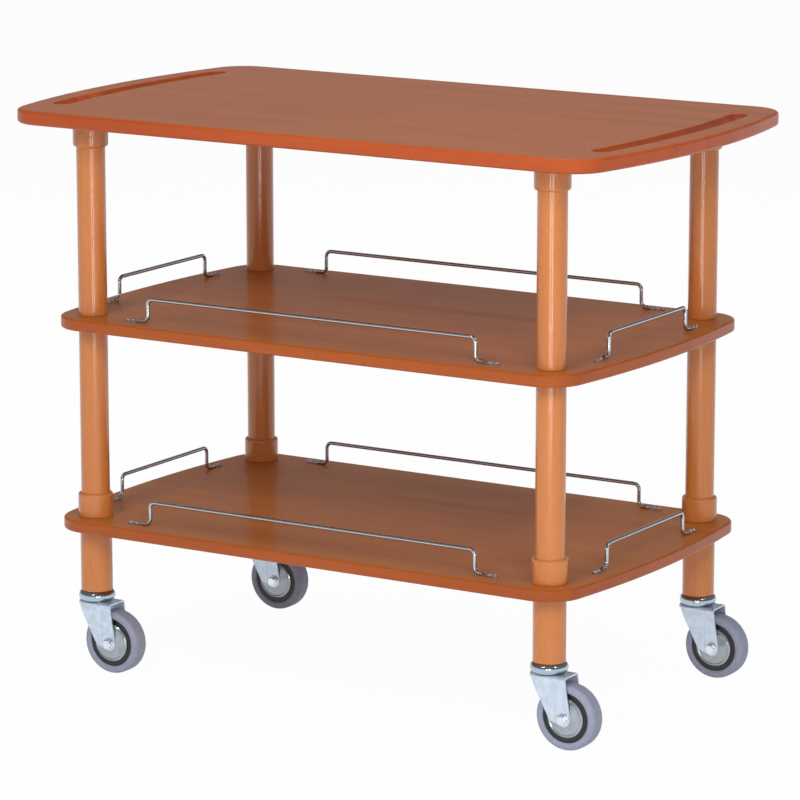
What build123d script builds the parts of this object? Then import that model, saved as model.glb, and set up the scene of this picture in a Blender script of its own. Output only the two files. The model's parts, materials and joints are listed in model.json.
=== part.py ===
from build123d import *
import os
from math import asin, cos, degrees, sin

# A three-tier wooden serving cart on four swivel casters.
# Millimetres. X runs along the cart, Y from its front to its back, Z up, with the floor at Z 0.
# Each body is built from the driving sizes below, and mating pieces share one size and a clearance.

# Frame of turned posts
POST_SPACING_X = 821.0
POST_SPACING_Y = 472.0
POST_DIAMETER = 45.0
UPPER_POST_LENGTH = 302.0
LOWER_POST_LENGTH = 302.0
COLLAR_DIAMETER = 55.0
COLLAR_HEIGHT = 38.0
COLLAR_ROUND = 4.5
LEG_DIAMETER = 50.0
LEG_LENGTH = 101.0
POST_ARRIS = 1.2

# Top panel and its two grip grooves
TOP_OVERHANG_X = 134.5
TOP_OVERHANG_Y = 84.0
TOP_LENGTH = POST_SPACING_X + 2 * TOP_OVERHANG_X
TOP_WIDTH = POST_SPACING_Y + 2 * TOP_OVERHANG_Y
TOP_BOW = 40.0
TOP_CORNER = 60.0
TOP_THICKNESS = 22.0
TOP_ARRIS = 5.0
GROOVE_WIDTH = 30.0
GROOVE_DEPTH = 11.0
GROOVE_SPAN = 460.0
GROOVE_INSET = 52.0
GROOVE_BOW_RADIUS = 1600.0
GROOVE_LIP = 1.5

# Shelves
SHELF_OVERHANG_X = 68.5
SHELF_OVERHANG_Y = 52.0
SHELF_LENGTH = POST_SPACING_X + 2 * SHELF_OVERHANG_X
SHELF_WIDTH = POST_SPACING_Y + 2 * SHELF_OVERHANG_Y
SHELF_BOW = 24.0
SHELF_CORNER = 58.0
SHELF_THICKNESS = 19.0
SHELF_ARRIS = 3.5

# Studs that join the posts through the panels
STUD_DIAMETER = 10.0
STUD_DEPTH = 30.0
STUD_DEPTH_IN_TOP = 14.0
HOLE_RELIEF = 2.0
FASTENER_FIT = 0.1

# Wire rails, with two screws through each flattened end
SIDE_RAIL_REACH = 293.0
END_RAIL_REACH = 120.0
SIDE_RAIL_INSET = 33.0
END_RAIL_INSET = 37.0
RAIL_WIRE = 6.0
RAIL_HEIGHT = 41.0
RAIL_TOP_BEND = 9.0
RAIL_FOOT_BEND = 8.0
RAIL_FOOT = 13.0
TAB_TAPER = 6.0
TAB_WIDTH = 9.0
TAB_THICKNESS = 2.5
TAB_END = 5.0
FIRST_SCREW = 26.0
SCREW_PITCH = 10.0
SCREW_HEAD = 7.0
SCREW_HEAD_HEIGHT = 3.0
SCREW_SHANK = 3.5
SCREW_BITE = 12.0
SCREW_POINT = 3.0

# Casters, from the floor up
WHEEL_DIAMETER = 100.0
WHEEL_TO_CROWN = 10.5
FORK_PLATE = 2.5
CROWN_GAP = 1.5
HEAD_HEIGHT = 15.5
CASTER_TRAIL = 35.0

# Caster head cup, swivel balls, swivel bolt and its insert in the leg
HEAD_DIAMETER = 57.5
HEAD_PLATE = 3.0
HEAD_WALL = 7.0
HEAD_SHOULDER = 7.5
HEAD_RIM_ROUND = 6.0
BALL_DIAMETER = 7.0
BALL_PITCH_RADIUS = 14.0
BALL_COUNT = 8
BALL_CLEARANCE = 0.3
SWIVEL_BOLT_DIAMETER = 12.0
SWIVEL_BOLT_REACH = 30.0
SWIVEL_HEAD_DIAMETER = 19.0
SWIVEL_HEAD_HEIGHT = 6.0
SWIVEL_HEAD_ROUND = 2.0
SWIVEL_BOLT_CHAMFER = 1.2
SWIVEL_HEAD_CLEARANCE = 0.3
INSERT_DIAMETER = 18.0
INSERT_LENGTH = 32.0
RUNNING_FIT = 0.08

# Pressed fork
FORK_INNER_WIDTH = 36.0
CROWN_FRONT = 30.5
CROWN_REAR = 38.0
CROWN_ROUND = 4.0
CROWN_SKIRT = 6.0
CROWN_BOSS_MARGIN = 4.0
ARM_FRONT = 21.0
ARM_HEEL = 18.0
ARM_HEEL_RISE = 2.0
ARM_HEEL_RADIUS = 7.0
ARM_END_RADIUS = 12.0
ARM_STEP = 0.7
ARM_STEP_AHEAD = 12.0

# Axle
AXLE_DIAMETER = 8.0
SLEEVE_DIAMETER = 12.0
AXLE_FLANGE_DIAMETER = 18.0
AXLE_FLANGE_THICKNESS = 2.0
HEX_ACROSS_FLATS = 13.0
HEX_HEIGHT = 5.5
HEX_CHAMFER = 1.2
NUT_COLLAR_WALL = 1.6
NUT_COLLAR_HEIGHT = 2.2
AXLE_END_REACH = 1.0

# Wheel: black hub, grey tyre, and domed thread guards
TYRE_WIDTH = 30.0
TYRE_THICKNESS = 12.0
TYRE_SHOULDER = 6.5
TYRE_CROWN = 0.5
TREAD_FLAT = 12.0
TYRE_BEAD_STEP = 2.0
TYRE_FIT = 0.1
RIM_WIDTH = 24.0
HUB_WEB = 9.0
HUB_RIM_DEPTH = 10.0
HUB_CORE_DIAMETER = 19.0
HUB_END_PLAY = 0.6
HUB_EDGE = 0.6
GUARD_DIAMETER = 60.0
GUARD_SHEET = 1.2
GUARD_FLANGE_DIAMETER = 22.0
GUARD_BEAD_WIDTH = 5.0
GUARD_VALLEY = 3.4
GUARD_BEAD_RISE = 1.2
GUARD_CLEARANCE = 0.5

# Levels worked out from the sizes above
AXLE_HEIGHT = WHEEL_DIAMETER / 2
CROWN_UNDER = WHEEL_DIAMETER + WHEEL_TO_CROWN
CROWN_TOP = CROWN_UNDER + FORK_PLATE
HEAD_BOTTOM = CROWN_TOP + CROWN_GAP
LEG_BOTTOM = HEAD_BOTTOM + HEAD_HEIGHT
BOTTOM_SHELF_UNDER = LEG_BOTTOM + LEG_LENGTH
BOTTOM_SHELF_TOP = BOTTOM_SHELF_UNDER + SHELF_THICKNESS
MIDDLE_SHELF_UNDER = BOTTOM_SHELF_TOP + LOWER_POST_LENGTH
MIDDLE_SHELF_TOP = MIDDLE_SHELF_UNDER + SHELF_THICKNESS
TOP_UNDER = MIDDLE_SHELF_TOP + UPPER_POST_LENGTH
TOP_SURFACE = TOP_UNDER + TOP_THICKNESS

CORNERS = {
    "front_left": (-POST_SPACING_X / 2, -POST_SPACING_Y / 2),
    "front_right": (POST_SPACING_X / 2, -POST_SPACING_Y / 2),
    "back_left": (-POST_SPACING_X / 2, POST_SPACING_Y / 2),
    "back_right": (POST_SPACING_X / 2, POST_SPACING_Y / 2),
}
SHELF_TOPS = {"middle": MIDDLE_SHELF_TOP, "bottom": BOTTOM_SHELF_TOP}
ALONG_AXLE = Rot(90, 0, 0)


def turned(outline, rounds, closed=False):
    """A solid turned about Z from (radius, height) points, with a rounding radius for each corner.

    An open outline starts and ends on the axis and its end points have no rounding.
    """
    points = [(radius, 0, height) for radius, height in outline]
    line = FilletPolyline(*points, radius=rounds, close=closed)
    if not closed:
        line = line + Line(points[-1], points[0])
    return revolve(make_face(line.edges()), Axis.Z)


def pin(diameter, low, high):
    """A plain cylinder on the Z axis between two heights."""
    return Pos(0, 0, low) * extrude(Circle(diameter / 2), high - low)


def stud_socket(low, high):
    """A hole for a stud between two heights."""
    return pin(STUD_DIAMETER + 2 * FASTENER_FIT, low, high)


def at_corners(shape):
    """Copies of a shape under each post axis."""
    return [Pos(x, y, 0) * shape for x, y in CORNERS.values()]


def bowed_panel(length, width, bow, corner, thickness, arris):
    """A flat panel with straight long sides, bowed ends and rounded corners and arrises, from Z 0 up."""
    end, side = length / 2, width / 2
    shoulder = end - bow
    outline = [
        ThreePointArc((shoulder, -side), (end, 0), (shoulder, side)),
        Line((shoulder, side), (-shoulder, side)),
        ThreePointArc((-shoulder, side), (-end, 0), (-shoulder, -side)),
        Line((-shoulder, -side), (shoulder, -side)),
    ]
    face = make_face(outline)
    face = fillet(face.vertices(), corner)
    panel = extrude(face, thickness)
    levels = panel.faces().filter_by(Axis.Z)
    return fillet(levels.edges(), arris)


def grip_groove():
    """Cutter for one grip groove: a round cove on an arc near the bowed end, with ball-shaped ends."""
    cutter_radius = (GROOVE_WIDTH**2 / 4 + GROOVE_DEPTH**2) / (2 * GROOVE_DEPTH)
    height = TOP_THICKNESS - GROOVE_DEPTH + cutter_radius
    bow_centre = TOP_LENGTH / 2 - GROOVE_INSET - GROOVE_BOW_RADIUS
    half_angle = asin((GROOVE_SPAN - GROOVE_WIDTH) / 2 / GROOVE_BOW_RADIUS)
    start_x = bow_centre + GROOVE_BOW_RADIUS * cos(half_angle)
    start = (start_x, -GROOVE_BOW_RADIUS * sin(half_angle), height)
    outward = (cos(half_angle), -sin(half_angle), 0)
    along = (sin(half_angle), cos(half_angle), 0)
    section = Plane(start, x_dir=outward, z_dir=along)
    bow_axis = Axis((bow_centre, 0, 0), (0, 0, 1))
    cove = revolve(section * Circle(cutter_radius), bow_axis, 2 * degrees(half_angle))
    start_ball = Pos(*start) * Sphere(cutter_radius)
    return cove + start_ball + mirror(start_ball, about=Plane.XZ)


def top_panel():
    panel = bowed_panel(TOP_LENGTH, TOP_WIDTH, TOP_BOW, TOP_CORNER, TOP_THICKNESS, TOP_ARRIS)
    groove = grip_groove()
    panel = panel - groove - mirror(groove, about=Plane.YZ)
    surface = panel.faces().filter_by(Axis.Z).sort_by(Axis.Z)[-1]
    panel = fillet([edge for wire in surface.inner_wires() for edge in wire.edges()], GROOVE_LIP)
    for hole in at_corners(stud_socket(0, STUD_DEPTH_IN_TOP + FASTENER_FIT)):
        panel -= hole
    return Pos(0, 0, TOP_UNDER) * panel


def rail_ends():
    """Each rail of a shelf: its name, the middle of its foot line, its turn about Z and its reach."""
    side = SHELF_WIDTH / 2 - SIDE_RAIL_INSET
    end = SHELF_LENGTH / 2 - END_RAIL_INSET
    return [
        ("front", (0, -side), 0, SIDE_RAIL_REACH),
        ("back", (0, side), 0, SIDE_RAIL_REACH),
        ("left", (-end, 0), 90, END_RAIL_REACH),
        ("right", (end, 0), 90, END_RAIL_REACH),
    ]


def screw_places(shelf_top):
    """Where the rail screws stand on a shelf's surface."""
    places = []
    for _, (x, y), turn, reach in rail_ends():
        for hand in (-1, 1):
            for step in (FIRST_SCREW, FIRST_SCREW + SCREW_PITCH):
                places.append(Pos(x, y, shelf_top) * Rot(0, 0, turn) * Pos(hand * (reach + step), 0, 0))
    return places


def shelf(shelf_top):
    """A shelf with a stud hole under each post and pilot holes for the rail screws."""
    panel = bowed_panel(SHELF_LENGTH, SHELF_WIDTH, SHELF_BOW, SHELF_CORNER, SHELF_THICKNESS, SHELF_ARRIS)
    panel = Pos(0, 0, shelf_top - SHELF_THICKNESS) * panel
    for hole in at_corners(stud_socket(shelf_top - SHELF_THICKNESS, shelf_top)):
        panel -= hole
    pilot = pin(SCREW_SHANK + 2 * FASTENER_FIT, -SCREW_BITE - FASTENER_FIT, 0)
    for place in screw_places(shelf_top):
        panel -= place * pilot
    return panel


def turned_post(length):
    """A post standing on Z 0 with its collar at the foot and a stud socket in each end."""
    post, collar = POST_DIAMETER / 2, COLLAR_DIAMETER / 2
    outline = [
        (0, 0),
        (collar, 0),
        (collar, COLLAR_HEIGHT),
        (post, COLLAR_HEIGHT),
        (post, length),
        (0, length),
    ]
    body = turned(outline, [POST_ARRIS, COLLAR_ROUND, 0, POST_ARRIS])
    socket = STUD_DEPTH + HOLE_RELIEF
    return body - stud_socket(0, socket) - stud_socket(length - socket, length)


def leg():
    """A short turned leg with a stud socket above and the caster insert's bore below."""
    radius = LEG_DIAMETER / 2
    top = LEG_BOTTOM + LEG_LENGTH
    outline = [(0, LEG_BOTTOM), (radius, LEG_BOTTOM), (radius, top), (0, top)]
    body = turned(outline, [POST_ARRIS, POST_ARRIS])
    bore = pin(INSERT_DIAMETER + 2 * FASTENER_FIT, LEG_BOTTOM, LEG_BOTTOM + INSERT_LENGTH + HOLE_RELIEF)
    return body - stud_socket(top - STUD_DEPTH - HOLE_RELIEF, top) - bore


def post_studs():
    """The three studs in the line of one corner: through each shelf, and up into the top panel."""
    return [
        pin(STUD_DIAMETER, BOTTOM_SHELF_UNDER - STUD_DEPTH, BOTTOM_SHELF_TOP + STUD_DEPTH),
        pin(STUD_DIAMETER, MIDDLE_SHELF_UNDER - STUD_DEPTH, MIDDLE_SHELF_TOP + STUD_DEPTH),
        pin(STUD_DIAMETER, TOP_UNDER - STUD_DEPTH, TOP_UNDER + STUD_DEPTH_IN_TOP),
    ]


def rail_tab():
    """A wire end beaten flat, along +X from where the round wire stops, with two screw holes."""
    wire = RAIL_WIRE / 2
    round_end = Plane((0, 0, wire), x_dir=(0, 1, 0), z_dir=(1, 0, 0)) * Circle(wire)
    flat = Ellipse(TAB_WIDTH / 2, TAB_THICKNESS / 2)
    flat_end = Plane((TAB_TAPER, 0, TAB_THICKNESS / 2), x_dir=(0, 1, 0), z_dir=(1, 0, 0)) * flat
    taper = loft([round_end, flat_end])
    first = FIRST_SCREW - RAIL_FOOT
    last = first + SCREW_PITCH
    strap_length = last + TAB_END - TAB_TAPER
    strap = Pos(TAB_TAPER + strap_length / 2, 0, 0) * Rectangle(strap_length, TAB_WIDTH)
    corners = strap.vertices().sort_by(Axis.X)[-2:]
    tab = taper + extrude(fillet(corners, TAB_WIDTH / 2 - FASTENER_FIT), TAB_THICKNESS)
    for along in (first, last):
        tab -= Pos(along, 0, 0) * pin(SCREW_SHANK + 2 * FASTENER_FIT, 0, TAB_THICKNESS)
    return tab


def wire_rail(reach):
    """A rail standing on Z 0 along X: a bar, two uprights at the reach, and two flattened feet."""
    wire = RAIL_WIRE / 2
    bar = RAIL_HEIGHT - wire
    foot = reach + RAIL_FOOT
    route = [(-foot, wire), (-reach, wire), (-reach, bar), (reach, bar), (reach, wire), (foot, wire)]
    bends = [RAIL_FOOT_BEND, RAIL_TOP_BEND, RAIL_TOP_BEND, RAIL_FOOT_BEND]
    path = FilletPolyline(*[(x, 0, z) for x, z in route], radius=bends)
    section = Plane(path @ 0, z_dir=path % 0) * Circle(wire)
    tab = Pos(foot, 0, 0) * rail_tab()
    return sweep(section, path) + tab + mirror(tab, about=Plane.YZ)


def rail_screw():
    """A round-head screw with its neck at Z 0, on the tab's upper face, pointing down."""
    head, shank = SCREW_HEAD / 2, SCREW_SHANK / 2
    dome = (head**2 + SCREW_HEAD_HEIGHT**2) / (2 * SCREW_HEAD_HEIGHT)
    tip = -TAB_THICKNESS - SCREW_BITE
    dome_middle = asin(head / dome) / 2
    crown = (0, 0, SCREW_HEAD_HEIGHT)
    cheek = (dome * sin(dome_middle), 0, SCREW_HEAD_HEIGHT - dome + dome * cos(dome_middle))
    brim = (head, 0, 0)
    below = Polyline(brim, (shank, 0, 0), (shank, 0, tip + SCREW_POINT), (0, 0, tip), crown)
    return revolve(make_face([ThreePointArc(crown, cheek, brim), below]), Axis.Z)


def caster_head():
    """The pressed cup under a leg, open below, in which the swivel balls run."""
    bore = SWIVEL_BOLT_DIAMETER / 2 + FASTENER_FIT
    outer = HEAD_DIAMETER / 2
    inner = outer - HEAD_WALL
    under = LEG_BOTTOM - HEAD_PLATE
    outline = [
        (bore, LEG_BOTTOM),
        (outer, LEG_BOTTOM),
        (outer, HEAD_BOTTOM),
        (inner, HEAD_BOTTOM),
        (inner, under),
        (bore, under),
    ]
    return turned(outline, [0, HEAD_SHOULDER, HEAD_RIM_ROUND, 0, HEAD_PLATE / 2, 0], closed=True)


def swivel_bolt():
    """The bolt on which a fork swivels: its head inside the fork, its thread in the leg's insert."""
    head, shank = SWIVEL_HEAD_DIAMETER / 2, SWIVEL_BOLT_DIAMETER / 2
    seat = CROWN_UNDER - SWIVEL_HEAD_CLEARANCE
    low = seat - SWIVEL_HEAD_HEIGHT
    tip = LEG_BOTTOM + SWIVEL_BOLT_REACH
    outline = [(0, low), (head, low), (head, seat), (shank, seat), (shank, tip), (0, tip)]
    return turned(outline, [SWIVEL_HEAD_ROUND, 0, 0, SWIVEL_BOLT_CHAMFER])


def leg_insert():
    """The threaded sleeve in a leg that takes the swivel bolt."""
    sleeve = pin(INSERT_DIAMETER, LEG_BOTTOM, LEG_BOTTOM + INSERT_LENGTH)
    return sleeve - pin(SWIVEL_BOLT_DIAMETER + 2 * FASTENER_FIT, LEG_BOTTOM, LEG_BOTTOM + INSERT_LENGTH)


def ball_height():
    """Height of the swivel balls' centres, just under the head cup's plate."""
    return LEG_BOTTOM - HEAD_PLATE - BALL_CLEARANCE - BALL_DIAMETER / 2


def swivel_balls():
    """One caster's ring of balls."""
    ring = PolarLocations(BALL_PITCH_RADIUS, BALL_COUNT)
    return [Pos(0, 0, ball_height()) * place * Sphere(BALL_DIAMETER / 2) for place in ring]


def fork_half_width():
    """Distance from the wheel's middle to the outer face of the fork's sides."""
    return FORK_INNER_WIDTH / 2 + FORK_PLATE


def fork_plan(inset):
    """The fork seen from above, drawn in by an inset: a round nose running back into two straight sides."""
    side = fork_half_width() - inset
    nose = fork_half_width() - CROWN_FRONT
    back = CASTER_TRAIL + 2 * ARM_END_RADIUS
    straight = Pos((nose + back) / 2, 0) * Rectangle(back - nose, 2 * side)
    return Pos(nose, 0) * Circle(side) + straight


def fork_side_view():
    """The fork seen from the side: a skirt under the crown, and an arm that narrows to the axle."""
    skirt = CROWN_TOP - CROWN_SKIRT
    crown = Pos((CROWN_REAR - CROWN_FRONT) / 2, CROWN_TOP - CROWN_SKIRT / 2)
    crown *= Rectangle(CROWN_REAR + CROWN_FRONT, CROWN_SKIRT)
    heel = (CASTER_TRAIL - ARM_HEEL, AXLE_HEIGHT + ARM_HEEL_RISE, 0)
    arm = make_hull([
        Edge.make_line((-ARM_FRONT, skirt), (CROWN_REAR, skirt)),
        Edge.make_circle(ARM_HEEL_RADIUS).moved(Location(heel)),
        Edge.make_circle(ARM_END_RADIUS).moved(Location((CASTER_TRAIL, AXLE_HEIGHT, 0))),
    ])
    return crown + arm


def fork():
    """A pressed fork: a crown with a raised ball seat, and two arms, stepped in where the axle bolts on."""
    side = fork_half_width()
    low = AXLE_HEIGHT - ARM_END_RADIUS
    shell = Pos(0, 0, low) * extrude(fork_plan(0), CROWN_TOP - low)
    shell = fillet(shell.faces().sort_by(Axis.Z)[-1].edges(), CROWN_ROUND)
    hollow = Pos(0, 0, low) * extrude(fork_plan(FORK_PLATE), CROWN_UNDER - low)
    hollow = fillet(hollow.faces().sort_by(Axis.Z)[-1].edges(), CROWN_ROUND - FORK_PLATE)
    pressed = (shell - hollow) & extrude(Plane.XZ * fork_side_view(), side, both=True)
    step_top = CROWN_TOP - CROWN_SKIRT - CROWN_ROUND
    step = Pos(CASTER_TRAIL - ARM_STEP_AHEAD, side, step_top)
    step_size = (ARM_STEP_AHEAD + 2 * ARM_END_RADIUS, 2 * ARM_STEP, step_top)
    step *= Box(*step_size, align=(Align.MIN, Align.CENTER, Align.MAX))
    pressed = pressed - step - mirror(step, about=Plane.XZ)
    seat = ball_height() - BALL_DIAMETER / 2 - BALL_CLEARANCE
    rim = BALL_PITCH_RADIUS + CROWN_BOSS_MARGIN
    boss = turned([(0, CROWN_UNDER), (rim, CROWN_UNDER), (rim, seat), (0, seat)], [0, FORK_PLATE / 2])
    bolt_hole = pin(SWIVEL_BOLT_DIAMETER + 2 * RUNNING_FIT, CROWN_UNDER, seat)
    axle_hole = extrude(Circle(AXLE_DIAMETER / 2 + FASTENER_FIT), side, both=True)
    return pressed + boss - bolt_hole - on_axle(axle_hole)


def on_axle(shape):
    """Turns a piece built about Z onto the wheel's axle, its top towards the front."""
    return Pos(CASTER_TRAIL, 0, AXLE_HEIGHT) * ALONG_AXLE * shape


def hexagon(height):
    """A hexagon on Z 0 with a chamfered top."""
    flats = HEX_ACROSS_FLATS / 2
    prism = extrude(RegularPolygon(flats, 6, major_radius=False), height)
    limit = turned([(0, 0), (flats + HEX_CHAMFER, 0), (flats + HEX_CHAMFER, height - HEX_CHAMFER),
                    (flats - HEX_CHAMFER / 2, height), (0, height)], [0, 0, 0])
    return prism & limit


def flange():
    """The washer face that is part of the axle bolt's head and of the nut, on Z 0."""
    radius = AXLE_FLANGE_DIAMETER / 2
    outline = [(0, 0), (radius, 0), (radius, AXLE_FLANGE_THICKNESS), (0, AXLE_FLANGE_THICKNESS)]
    return turned(outline, [0, AXLE_FLANGE_THICKNESS / 2])


def axle_seat():
    """Distance from the wheel's middle to the stepped face of an arm, where head and nut seat."""
    return fork_half_width() - ARM_STEP


def nut_height():
    return AXLE_FLANGE_THICKNESS + HEX_HEIGHT + NUT_COLLAR_HEIGHT


def axle_bolt():
    """A flanged hexagon bolt through both arms, its head to the front."""
    head = Pos(0, 0, axle_seat()) * (flange() + Pos(0, 0, AXLE_FLANGE_THICKNESS) * hexagon(HEX_HEIGHT))
    end = -axle_seat() - nut_height() - AXLE_END_REACH
    return on_axle(head + pin(AXLE_DIAMETER, end, axle_seat()))


def axle_nut():
    """A flanged lock nut on the back arm, with a round collar at its outer end."""
    body = flange() + Pos(0, 0, AXLE_FLANGE_THICKNESS) * hexagon(HEX_HEIGHT)
    collar = pin(AXLE_DIAMETER + 2 * FASTENER_FIT + 2 * NUT_COLLAR_WALL, AXLE_FLANGE_THICKNESS, nut_height())
    nut = body + collar - pin(AXLE_DIAMETER + 2 * FASTENER_FIT, 0, nut_height())
    return on_axle(Rot(180, 0, 0) * Pos(0, 0, axle_seat()) * nut)


def sleeve_end():
    """Distance from the wheel's middle to the end of the axle sleeve, where a thread guard clamps."""
    return FORK_INNER_WIDTH / 2 - GUARD_SHEET


def axle_sleeve():
    sleeve = pin(SLEEVE_DIAMETER, -sleeve_end(), sleeve_end())
    return on_axle(sleeve - pin(AXLE_DIAMETER + 2 * FASTENER_FIT, -sleeve_end(), sleeve_end()))


def thread_guard():
    """A domed sheet disc clamped between sleeve and arm, with a raised bead near its edge."""
    bore = AXLE_DIAMETER / 2 + FASTENER_FIT
    edge = GUARD_DIAMETER / 2
    flat = GUARD_FLANGE_DIAMETER / 2
    valley = edge - GUARD_BEAD_WIDTH
    high = FORK_INNER_WIDTH / 2
    low = high - GUARD_VALLEY
    bead = low + GUARD_BEAD_RISE
    lip = RIM_WIDTH / 2 + GUARD_CLEARANCE
    bead_middle = edge - GUARD_BEAD_WIDTH / 2
    outline = [
        (bore, high),
        (flat, high),
        (valley, low),
        (bead_middle, bead),
        (edge, lip + GUARD_SHEET),
        (edge, lip),
        (bead_middle, bead - GUARD_SHEET),
        (valley, low - GUARD_SHEET),
        (flat, high - GUARD_SHEET),
        (bore, high - GUARD_SHEET),
    ]
    soft = GUARD_SHEET
    return turned(outline, [0, 2 * soft, 2 * soft, soft, 0, 0, 0, soft, soft, 0], closed=True)


def thread_guards():
    """The two guards of one wheel."""
    guard = thread_guard()
    return [on_axle(guard), on_axle(Rot(180, 0, 0) * guard)]


def rim_radius():
    return WHEEL_DIAMETER / 2 - TYRE_THICKNESS


def hub():
    """The black wheel centre: a long bored core, a web, and a rim that shows between guard and tyre."""
    bore = SLEEVE_DIAMETER / 2 + RUNNING_FIT
    core = HUB_CORE_DIAMETER / 2
    core_end = sleeve_end() - HUB_END_PLAY
    rim = rim_radius()
    ring = rim - HUB_RIM_DEPTH
    half = [
        (bore, core_end),
        (core, core_end),
        (core, HUB_WEB / 2),
        (ring, HUB_WEB / 2),
        (ring, RIM_WIDTH / 2),
        (rim, RIM_WIDTH / 2),
    ]
    outline = half + [(radius, -height) for radius, height in reversed(half)]
    rounds = [0, 0, 0, 0, HUB_EDGE, HUB_EDGE]
    return on_axle(turned(outline, rounds + rounds[::-1], closed=True))


def tyre():
    """A grey tyre with rounded shoulders and a slightly crowned tread, over the rim."""
    inner = rim_radius() + TYRE_FIT
    outer = WHEEL_DIAMETER / 2
    side = TYRE_WIDTH / 2
    bead = side - TYRE_BEAD_STEP
    half = [
        (inner, bead),
        (inner + TYRE_BEAD_STEP, side),
        (outer - TYRE_CROWN, side),
        (outer, TREAD_FLAT / 2),
    ]
    outline = half + [(radius, -height) for radius, height in reversed(half)]
    rounds = [0, TYRE_BEAD_STEP, TYRE_SHOULDER, 0]
    return on_axle(turned(outline, rounds + rounds[::-1], closed=True))


def model():
    """Every node of the cart: its name with its solid, or with the list of solids that it groups."""
    nodes = {
        "top_panel": top_panel(),
        "middle_shelf": shelf(MIDDLE_SHELF_TOP),
        "bottom_shelf": shelf(BOTTOM_SHELF_TOP),
    }
    upper = Pos(0, 0, TOP_UNDER) * Rot(180, 0, 0) * turned_post(UPPER_POST_LENGTH)
    lower = Pos(0, 0, BOTTOM_SHELF_TOP) * turned_post(LOWER_POST_LENGTH)
    single_pieces = {
        "upper_post": upper,
        "lower_post": lower,
        "leg": leg(),
        "caster_head": caster_head(),
        "fork": fork(),
        "axle_bolt": axle_bolt(),
        "axle_nut": axle_nut(),
        "axle_sleeve": axle_sleeve(),
        "hub": hub(),
        "tyre": tyre(),
    }
    guards = thread_guards()
    for corner, (x, y) in CORNERS.items():
        for name, piece in single_pieces.items():
            nodes[f"{name}_{corner}"] = Pos(x, y, 0) * piece
        nodes[f"thread_guards_{corner}"] = [Pos(x, y, 0) * guard for guard in guards]
    rails = {reach: wire_rail(reach) for reach in (SIDE_RAIL_REACH, END_RAIL_REACH)}
    for level, shelf_top in SHELF_TOPS.items():
        for name, (x, y), turn, reach in rail_ends():
            nodes[f"{level}_{name}_rail"] = Pos(x, y, shelf_top) * Rot(0, 0, turn) * rails[reach]
    screw = Pos(0, 0, TAB_THICKNESS) * rail_screw()
    nodes["rail_screws"] = [place * screw for top in SHELF_TOPS.values() for place in screw_places(top)]
    nodes["post_studs"] = [piece for stud in post_studs() for piece in at_corners(stud)]
    nodes["leg_inserts"] = at_corners(leg_insert())
    nodes["swivel_bolts"] = at_corners(swivel_bolt())
    nodes["swivel_balls"] = [piece for ball in swivel_balls() for piece in at_corners(ball)]
    return nodes


def write_parts():
    os.makedirs("parts", exist_ok=True)
    for name, shape in model().items():
        if isinstance(shape, list):
            shape = Compound(children=[solid for piece in shape for solid in piece.solids()])
        export_step(shape, f"parts/{name}.step")


write_parts()
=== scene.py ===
import json
from math import radians

import bmesh
import bpy
from mathutils import Matrix, Vector


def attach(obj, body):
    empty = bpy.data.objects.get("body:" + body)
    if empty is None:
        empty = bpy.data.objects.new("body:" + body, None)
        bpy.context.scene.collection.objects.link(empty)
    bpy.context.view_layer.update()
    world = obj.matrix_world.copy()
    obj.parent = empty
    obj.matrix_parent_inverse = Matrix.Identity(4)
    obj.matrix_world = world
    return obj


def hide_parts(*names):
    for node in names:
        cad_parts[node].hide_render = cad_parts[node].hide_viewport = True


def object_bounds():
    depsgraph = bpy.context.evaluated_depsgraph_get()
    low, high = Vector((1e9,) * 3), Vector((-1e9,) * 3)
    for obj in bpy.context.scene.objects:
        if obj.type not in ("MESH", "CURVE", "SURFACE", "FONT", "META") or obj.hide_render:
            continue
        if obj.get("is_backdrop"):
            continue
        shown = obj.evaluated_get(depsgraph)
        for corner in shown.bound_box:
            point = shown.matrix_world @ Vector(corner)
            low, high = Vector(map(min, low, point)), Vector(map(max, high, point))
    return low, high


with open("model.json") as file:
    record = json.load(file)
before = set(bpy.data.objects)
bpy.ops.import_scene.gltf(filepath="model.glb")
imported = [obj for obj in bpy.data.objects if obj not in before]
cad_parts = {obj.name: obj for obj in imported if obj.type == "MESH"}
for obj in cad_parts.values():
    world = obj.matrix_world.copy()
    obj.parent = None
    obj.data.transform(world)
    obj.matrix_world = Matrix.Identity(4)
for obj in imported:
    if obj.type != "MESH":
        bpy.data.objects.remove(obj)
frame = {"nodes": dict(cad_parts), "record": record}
CAD_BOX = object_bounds()

# Camera, fitted to the posts and shelf corners in the photograph, in metres and degrees
CAMERA_PLACE = (3.4394, -5.5729, 1.8054)
CAMERA_AZIMUTH = 31.64
CAMERA_PITCH = 11.80
CAMERA_LENS = 192.9
CAMERA_SENSOR = 36.0
LEVEL_VIEW = 90.0

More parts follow.
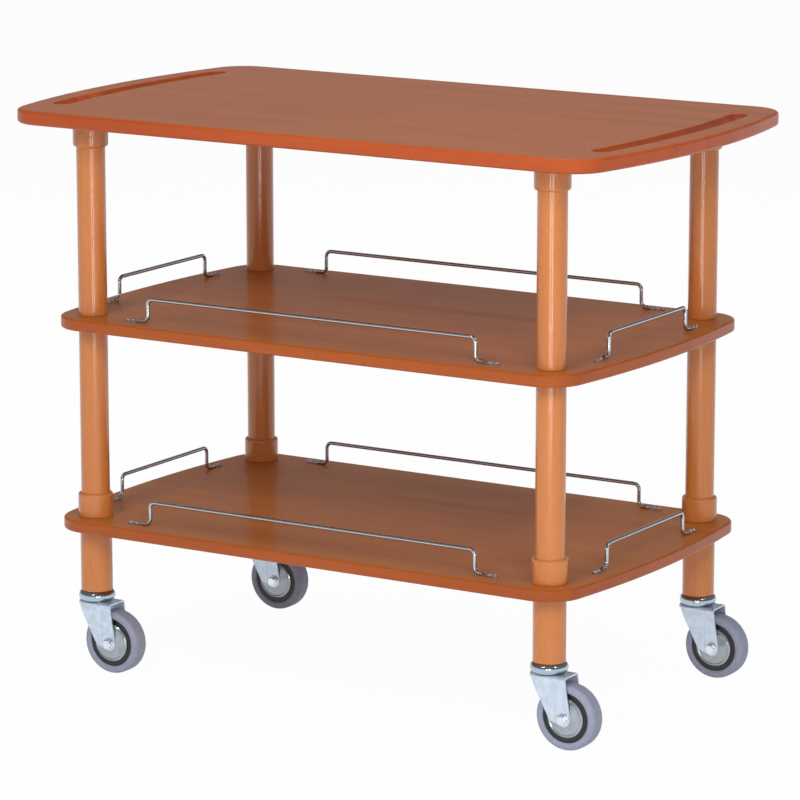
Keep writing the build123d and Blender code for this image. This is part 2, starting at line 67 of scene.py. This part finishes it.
# Studio: lamps and whether glossy surfaces mirror them, post lamps that skip the panels, room and floor
LAMP_AIM = (0.0, 0.0, 0.5)
LAMPS = {
    "key_softbox": {"place": (2.4, -2.5, 2.6), "size": (1.4, 1.4), "power": 54.0, "mirrors": False},
    "fill_softbox": {"place": (0.2, -3.6, 2.6), "size": (1.4, 1.4), "power": 48.0, "mirrors": False},
    "back_softbox": {"place": (-2.2, 3.4, 3.0), "size": (2.8, 2.4), "power": 46.0, "mirrors": False},
    "top_softbox": {"place": (0.0, 0.4, 4.2), "size": (3.0, 2.0), "power": 34.0, "mirrors": True},
    "left_spark": {"place": (-0.3, -2.4, 2.9), "size": (0.35, 0.35), "power": 9.0, "mirrors": True},
    "right_spark": {"place": (2.6, -0.6, 2.9), "size": (0.35, 0.35), "power": 9.0, "mirrors": True},
    "right_low_strip": {"place": (1.48, -1.89, 0.34), "size": (0.14, 0.62), "power": 4.4, "mirrors": True},
    "left_low_strip": {"place": (0.98, -2.19, 0.34), "size": (0.14, 0.62), "power": 4.4, "mirrors": True},
}
POST_LAMPS = ("right_low_strip", "left_low_strip")
UNLIT_BY_POST_LAMPS = ("top_panel", "middle_shelf", "bottom_shelf")
ROOM_GREY = 0.2
WALL_FADE = (0.098, 0.115)
FLOOR_SIZE = 120.0
FLOOR_WHITE = 0.9
FLOOR_LIFT = 0.97

# Cross recesses of the rail screws, in metres and degrees
RECESS_LENGTH = 0.0034
RECESS_WIDTH = 0.0008
RECESS_DEPTH = 0.0013
WELD_REACH = 0.000002
CREASE_ANGLE = 28

# Colours, as linear red, green and blue
WHITE = (1.0, 1.0, 1.0)
CHERRY_DARK = (0.394, 0.102, 0.025)
CHERRY_LIGHT = (0.461, 0.131, 0.034)
SHELF_DARK = (0.435, 0.134, 0.024)
SHELF_LIGHT = (0.510, 0.170, 0.033)
TOP_EDGE_TINT = (1.10, 0.70, 0.55)
SHELF_EDGE_TINT = (0.86, 0.56, 0.43)
HONEY_DARK = (0.500, 0.156, 0.034)
HONEY_LIGHT = (0.585, 0.198, 0.046)
WIRE_GREY = (0.52, 0.57, 0.62)
RING_GREY = (0.44, 0.53, 0.61)
ZINC_DARK = (0.52, 0.61, 0.72)
ZINC_LIGHT = (0.63, 0.73, 0.86)
# Thread guard zinc, darker than the fork's: painted shade for the darker surroundings the guards reflect
GUARD_PAINTED_SHADE_DARK = (0.32, 0.36, 0.39)
GUARD_PAINTED_SHADE_LIGHT = (0.39, 0.43, 0.47)
FASTENER_GREY = (0.78, 0.83, 0.88)
TYRE_DARK = (0.250, 0.272, 0.360)
TYRE_LIGHT = (0.290, 0.313, 0.410)
RIM_BLACK = (0.012, 0.012, 0.014)

# Wood: noise along the grain, shades, lacquer, and where the edge tint and the painted shade in hollows set
# in
FIGURE = {"across": 9.0, "scale": 2.6, "detail": 5.0}
FIBRES = {"across": 60.0, "scale": 14.0, "detail": 3.0}
FLECKS = {"across": 12.0, "scale": 70.0, "detail": 1.0}
FIGURE_FADE = (0.30, 0.70)
FIBRE_SHADE = {"low": 0.30, "high": 0.62, "darkest": 0.93}
FLECK_SHADE = {"low": 0.30, "high": 0.42, "darkest": 0.90}
EDGE_FADE = (0.80, 0.98)
# Painted shade in grooves and narrow hollows: how far to look for cover, and how dark to go
HOLLOW_REACH = 0.025
PAINTED_HOLLOW_SHADE = {"low": 0.50, "high": 0.96, "darkest": 0.12}
WOOD_ROUGHNESS = (0.38, 0.48)
WOOD_RELIEF = 0.00002
WOOD_SPECULAR = 0.14
TOP_COAT = {"weight": 0.32, "roughness": 0.08}
SHELF_COAT = {"weight": 0.38, "roughness": 0.08}
POST_COAT = {"weight": 1.00, "roughness": 0.18}

# Metal, rubber and plastic: noise, and lowest and highest roughness
HAZE = {"scale": 60.0, "detail": 3.0}
CLOUDS = {"scale": 90.0, "detail": 4.0}
SPECKLE = {"scale": 160.0, "detail": 4.0}
PATCH_FADE = (0.35, 0.65)
WIRE_ROUGHNESS = (0.20, 0.30)
RING_ROUGHNESS = (0.13, 0.20)
ZINC_ROUGHNESS = (0.24, 0.38)
GUARD_ROUGHNESS = (0.14, 0.20)
FASTENER_ROUGHNESS = (0.28, 0.38)
ZINC_METALLIC = 0.6
RUBBER_ROUGHNESS = 0.55
RUBBER_RELIEF = 0.00006
PLASTIC_ROUGHNESS = 0.42


def add(tree, kind, **inputs):
    """A shader node with values set on its named inputs."""
    made = tree.nodes.new(kind)
    for name, value in inputs.items():
        made.inputs[name.replace("_", " ")].default_value = value
    return made


def new_material(name):
    """A material, its node tree and its shader."""
    material = bpy.data.materials.new(name)
    material.use_nodes = True
    tree = material.node_tree
    return material, tree, tree.nodes["Principled BSDF"]


def noise(tree, scale, detail, across=1.0, grain=None):
    """Noise in the cart's own frame, finer across the grain axis by the given factor."""
    place = tree.nodes.new("ShaderNodeTexCoord")
    mapping = tree.nodes.new("ShaderNodeMapping")
    mapping.inputs["Scale"].default_value = tuple(1.0 if axis == grain else across for axis in "XYZ")
    texture = add(tree, "ShaderNodeTexNoise", Scale=scale, Detail=detail)
    tree.links.new(place.outputs["Object"], mapping.inputs["Vector"])
    tree.links.new(mapping.outputs["Vector"], texture.inputs["Vector"])
    return texture.outputs["Fac"]


def two_tone(tree, factor, low, high, dark, light):
    """A smooth change from a dark to a light colour as the factor goes from low to high."""
    ramp = tree.nodes.new("ShaderNodeValToRGB")
    ramp.color_ramp.elements[0].position = low
    ramp.color_ramp.elements[0].color = (*dark, 1)
    ramp.color_ramp.elements[1].position = high
    ramp.color_ramp.elements[1].color = (*light, 1)
    tree.links.new(factor, ramp.inputs["Fac"])
    return ramp.outputs["Color"]


def multiplied(tree, colour, tint):
    """One colour multiplied by another."""
    mix = tree.nodes.new("ShaderNodeMix")
    mix.data_type = "RGBA"
    mix.blend_type = "MULTIPLY"
    mix.inputs["Factor"].default_value = 1.0
    colours = [socket for socket in mix.inputs if socket.type == "RGBA"]
    tree.links.new(colour, colours[0])
    tree.links.new(tint, colours[1])
    return next(socket for socket in mix.outputs if socket.type == "RGBA")


def shaded(tree, colour, factor, low, high, darkest):
    """A colour darkened to the given share where the factor is low."""
    shade = two_tone(tree, factor, low, high, (darkest,) * len(WHITE), WHITE)
    return multiplied(tree, colour, shade)


def roughened(tree, shader, factor, low, high):
    """Roughness that follows a factor between two values."""
    spread = tree.nodes.new("ShaderNodeMapRange")
    spread.inputs["To Min"].default_value = low
    spread.inputs["To Max"].default_value = high
    tree.links.new(factor, spread.inputs["Value"])
    tree.links.new(spread.outputs["Result"], shader.inputs["Roughness"])


def bumped(tree, shader, factor, distance):
    """A fine relief of the given depth in metres."""
    bump = add(tree, "ShaderNodeBump", Distance=distance)
    tree.links.new(factor, bump.inputs["Height"])
    tree.links.new(bump.outputs["Normal"], shader.inputs["Normal"])


def edge_tinted(tree, colour, edge):
    """A colour that takes on a tint where the surface isn't level: at edges and in grooves."""
    surface = tree.nodes.new("ShaderNodeNewGeometry")
    parts = tree.nodes.new("ShaderNodeSeparateXYZ")
    tree.links.new(surface.outputs["True Normal"], parts.inputs["Vector"])
    tint = two_tone(tree, parts.outputs["Z"], *EDGE_FADE, edge, WHITE)
    return multiplied(tree, colour, tint)


def painted_hollow_shaded(tree, colour):
    """A colour darkened in narrow hollows by ambient occlusion: painted shade."""
    hollow = add(tree, "ShaderNodeAmbientOcclusion", Distance=HOLLOW_REACH)
    hollow.only_local = True
    return shaded(tree, colour, hollow.outputs["AO"], **PAINTED_HOLLOW_SHADE)


def wood(name, grain, dark, light, coat, edge=None):
    """Stained and lacquered beech: broad figure, fine fibres and short dark flecks along the grain axis."""
    material, tree, shader = new_material(name)
    figure = noise(tree, **FIGURE, grain=grain)
    fibres = noise(tree, **FIBRES, grain=grain)
    flecks = noise(tree, **FLECKS, grain=grain)
    colour = two_tone(tree, figure, *FIGURE_FADE, dark, light)
    colour = shaded(tree, colour, fibres, **FIBRE_SHADE)
    colour = shaded(tree, colour, flecks, **FLECK_SHADE)
    if edge:
        # Painted shade: the colour is darkened in grooves and other narrow hollows
        colour = painted_hollow_shaded(tree, edge_tinted(tree, colour, edge))
    tree.links.new(colour, shader.inputs["Base Color"])
    roughened(tree, shader, fibres, *WOOD_ROUGHNESS)
    bumped(tree, shader, fibres, WOOD_RELIEF)
    shader.inputs["Specular IOR Level"].default_value = WOOD_SPECULAR
    shader.inputs["Coat Weight"].default_value = coat["weight"]
    shader.inputs["Coat Roughness"].default_value = coat["roughness"]
    return material


def bright_metal(name, colour, roughness):
    """Plated metal with a faintly uneven polish."""
    material, tree, shader = new_material(name)
    shader.inputs["Base Color"].default_value = (*colour, 1)
    shader.inputs["Metallic"].default_value = 1.0
    roughened(tree, shader, noise(tree, **HAZE), *roughness)
    return material


def zinc(name, dark, light, roughness):
    """Bright zinc on pressed sheet: cool grey with cloudy patches."""
    material, tree, shader = new_material(name)
    shader.inputs["Metallic"].default_value = ZINC_METALLIC
    clouds = noise(tree, **CLOUDS)
    tree.links.new(two_tone(tree, clouds, *PATCH_FADE, dark, light), shader.inputs["Base Color"])
    roughened(tree, shader, clouds, *roughness)
    return material


def grey_rubber():
    """Non-marking rubber, matt, with a faint speckle."""
    material, tree, shader = new_material("grey_rubber_look")
    speckle = noise(tree, **SPECKLE)
    colour = two_tone(tree, speckle, *PATCH_FADE, TYRE_DARK, TYRE_LIGHT)
    tree.links.new(colour, shader.inputs["Base Color"])
    shader.inputs["Roughness"].default_value = RUBBER_ROUGHNESS
    bumped(tree, shader, speckle, RUBBER_RELIEF)
    return material


def black_plastic():
    """Moulded plastic of the hubs, dull and even."""
    material, _, shader = new_material("black_plastic_look")
    shader.inputs["Base Color"].default_value = (*RIM_BLACK, 1)
    shader.inputs["Roughness"].default_value = PLASTIC_ROUGHNESS
    return material


def paint_nodes():
    """Gives every CAD node the look of its slot in the record, except the thread guards, which get a
    darker, smoother zinc whose darker colour is painted shade.
    """
    looks = {
        "top_wood": wood("top_wood_look", "X", CHERRY_DARK, CHERRY_LIGHT, TOP_COAT, TOP_EDGE_TINT),
        "shelf_wood": wood("shelf_wood_look", "X", SHELF_DARK, SHELF_LIGHT, SHELF_COAT, SHELF_EDGE_TINT),
        "post_wood": wood("post_wood_look", "Z", HONEY_DARK, HONEY_LIGHT, POST_COAT),
        "rail_wire": bright_metal("rail_wire_look", WIRE_GREY, WIRE_ROUGHNESS),
        "caster_ring": bright_metal("caster_ring_look", RING_GREY, RING_ROUGHNESS),
        "pressed_zinc": zinc("pressed_zinc_look", ZINC_DARK, ZINC_LIGHT, ZINC_ROUGHNESS),
        "fastener_steel": bright_metal("fastener_steel_look", FASTENER_GREY, FASTENER_ROUGHNESS),
        "grey_rubber": grey_rubber(),
        "black_plastic": black_plastic(),
    }
    # Thread guards: a darker copy of the zinc, its darkness painted shade
    guard = zinc("thread_guard_painted_shade_look", GUARD_PAINTED_SHADE_DARK, GUARD_PAINTED_SHADE_LIGHT, GUARD_ROUGHNESS)
    for part in frame["record"]["subparts"]:
        mesh = frame["nodes"][part["node"]].data
        mesh.materials.clear()
        is_guard = part["node"].startswith("thread_guard")
        mesh.materials.append(guard if is_guard else looks[part["material_slot"]])


def welded(node):
    """A node's mesh with its seams welded, ready to be edited."""
    edited = bmesh.new()
    edited.from_mesh(node.data)
    bmesh.ops.remove_doubles(edited, verts=edited.verts, dist=WELD_REACH)
    return edited


def stand_in(edited, name, node, body):
    """A new piece from an edited mesh that stands for a node and rides on the node's body."""
    mesh = bpy.data.meshes.new(name)
    edited.to_mesh(mesh)
    edited.free()
    if "custom_normal" in mesh.attributes:
        mesh.attributes.remove(mesh.attributes["custom_normal"])
    mesh.shade_smooth()
    mesh.set_sharp_from_angle(angle=radians(CREASE_ANGLE))
    mesh.materials.append(node.data.materials[0])
    piece = bpy.data.objects.new(name, mesh)
    bpy.context.scene.collection.objects.link(piece)
    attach(piece, body)
    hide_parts(node.name)


def islands(edited):
    """The separate shells of a mesh, as lists of vertices."""
    waiting = set(edited.verts)
    while waiting:
        shell, front = [], [waiting.pop()]
        while front:
            vertex = front.pop()
            shell.append(vertex)
            near = {edge.other_vert(vertex) for edge in vertex.link_edges} & waiting
            waiting -= near
            front.extend(near)
        yield shell


def cross_cutter(edited):
    """Crossed bars through the crown of each screw head."""
    cutter = bmesh.new()
    for shell in islands(edited):
        crown = max(vertex.co.z for vertex in shell)
        middle = sum((vertex.co for vertex in shell), Vector()) / len(shell)
        place = Matrix.Translation((middle.x, middle.y, crown))
        for size in ((RECESS_LENGTH, RECESS_WIDTH), (RECESS_WIDTH, RECESS_LENGTH)):
            bar = Matrix.Diagonal((*size, 2 * RECESS_DEPTH, 1))
            bmesh.ops.create_cube(cutter, size=1, matrix=place @ bar)
    mesh = bpy.data.meshes.new("screw_recesses")
    cutter.to_mesh(mesh)
    cutter.free()
    return bpy.data.objects.new("screw_recesses", mesh)


def recessed_screws():
    """The rail screws with a cross recess in each head."""
    node = frame["nodes"]["rail_screws"]
    edited = welded(node)
    cutter = cross_cutter(edited)
    mesh = bpy.data.meshes.new("rail_screw_blanks")
    edited.to_mesh(mesh)
    edited.free()
    blanks = bpy.data.objects.new("rail_screw_blanks", mesh)
    for made in (blanks, cutter):
        bpy.context.scene.collection.objects.link(made)
    cut = blanks.modifiers.new("recess", "BOOLEAN")
    cut.operation = "DIFFERENCE"
    cut.solver = "EXACT"
    cut.use_self = True
    cut.object = cutter
    edited = bmesh.new()
    edited.from_object(blanks, bpy.context.evaluated_depsgraph_get())
    for made in (blanks, cutter):
        bpy.data.objects.remove(made)
    stand_in(edited, "recessed_rail_screws", node, "frame")


def white_floor():
    """A floor that keeps soft shadows, and that the camera and reflections see as near white."""
    bpy.ops.mesh.primitive_plane_add(size=FLOOR_SIZE)
    floor = bpy.context.object
    floor.name = "studio_floor"
    material, tree, shader = new_material("studio_floor_look")
    shader.inputs["Base Color"].default_value = (FLOOR_WHITE, FLOOR_WHITE, FLOOR_WHITE, 1)
    shader.inputs["Roughness"].default_value = 1.0
    shader.inputs["Specular IOR Level"].default_value = 0.0
    glow = add(tree, "ShaderNodeEmission", Strength=1.0)
    rays = tree.nodes.new("ShaderNodeLightPath")
    seen = rays.outputs["Is Camera Ray"]
    for kind in ("Is Glossy Ray", "Is Transmission Ray"):
        either = tree.nodes.new("ShaderNodeMath")
        either.operation = "MAXIMUM"
        tree.links.new(seen, either.inputs[0])
        tree.links.new(rays.outputs[kind], either.inputs[1])
        seen = either.outputs["Value"]
    lift = tree.nodes.new("ShaderNodeMath")
    lift.operation = "MULTIPLY"
    lift.inputs[1].default_value = FLOOR_LIFT
    mix = tree.nodes.new("ShaderNodeMixShader")
    tree.links.new(seen, lift.inputs[0])
    tree.links.new(lift.outputs["Value"], mix.inputs["Fac"])
    tree.links.new(shader.outputs["BSDF"], mix.inputs[1])
    tree.links.new(glow.outputs["Emission"], mix.inputs[2])
    tree.links.new(mix.outputs["Shader"], tree.nodes["Material Output"].inputs["Surface"])
    floor.data.materials.append(material)
    floor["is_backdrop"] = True


def post_lamp_group():
    """A light-linking group that keeps the post lamps off the level panels, where they would glare."""
    group = bpy.data.collections.new("unlit_by_post_lamps")
    for name in UNLIT_BY_POST_LAMPS:
        group.objects.link(frame["nodes"][name])
    for row in group.collection_objects:
        row.light_linking.link_state = "EXCLUDE"
    return group


def studio_light():
    """Soft lamps that face the cart, in a grey room whose walls are white near the floor."""
    group = post_lamp_group()
    for name, lamp in LAMPS.items():
        data = bpy.data.lights.new(name, "AREA")
        data.shape = "RECTANGLE"
        data.size, data.size_y = lamp["size"]
        data.energy = lamp["power"]
        light = bpy.data.objects.new(name, data)
        light.location = lamp["place"]
        light.visible_camera = False
        light.visible_glossy = lamp["mirrors"]
        if name in POST_LAMPS:
            light.light_linking.receiver_collection = group
        light.rotation_euler = (Vector(LAMP_AIM) - light.location).to_track_quat("-Z", "Y").to_euler()
        bpy.context.scene.collection.objects.link(light)
    world = bpy.data.worlds.new("studio_room")
    world.use_nodes = True
    tree = world.node_tree
    direction = tree.nodes.new("ShaderNodeTexCoord")
    parts = tree.nodes.new("ShaderNodeSeparateXYZ")
    tree.links.new(direction.outputs["Generated"], parts.inputs["Vector"])
    room = two_tone(tree, parts.outputs["Z"], *WALL_FADE, WHITE, (ROOM_GREY,) * len(WHITE))
    tree.links.new(room, tree.nodes["Background"].inputs["Color"])
    bpy.context.scene.world = world


def photo_camera():
    """A camera at the photograph's place and angle."""
    data = bpy.data.cameras.new("photo_camera")
    data.lens = CAMERA_LENS
    data.sensor_width = CAMERA_SENSOR
    camera = bpy.data.objects.new("photo_camera", data)
    camera.location = CAMERA_PLACE
    camera.rotation_euler = (radians(LEVEL_VIEW - CAMERA_PITCH), 0, radians(CAMERA_AZIMUTH))
    bpy.context.scene.collection.objects.link(camera)
    bpy.context.scene.camera = camera


def write_sizes():
    """Works out the CAD model's box and the dressed model's box, in metres, as lists, and does nothing more
    with them.
    """
    boxes = {"cad": CAD_BOX, "visual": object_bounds()}
    {name: [list(corner) for corner in box] for name, box in boxes.items()}


paint_nodes()
recessed_screws()
white_floor()
studio_light()
photo_camera()
bpy.context.scene.view_settings.view_transform = "Standard"
write_sizes()
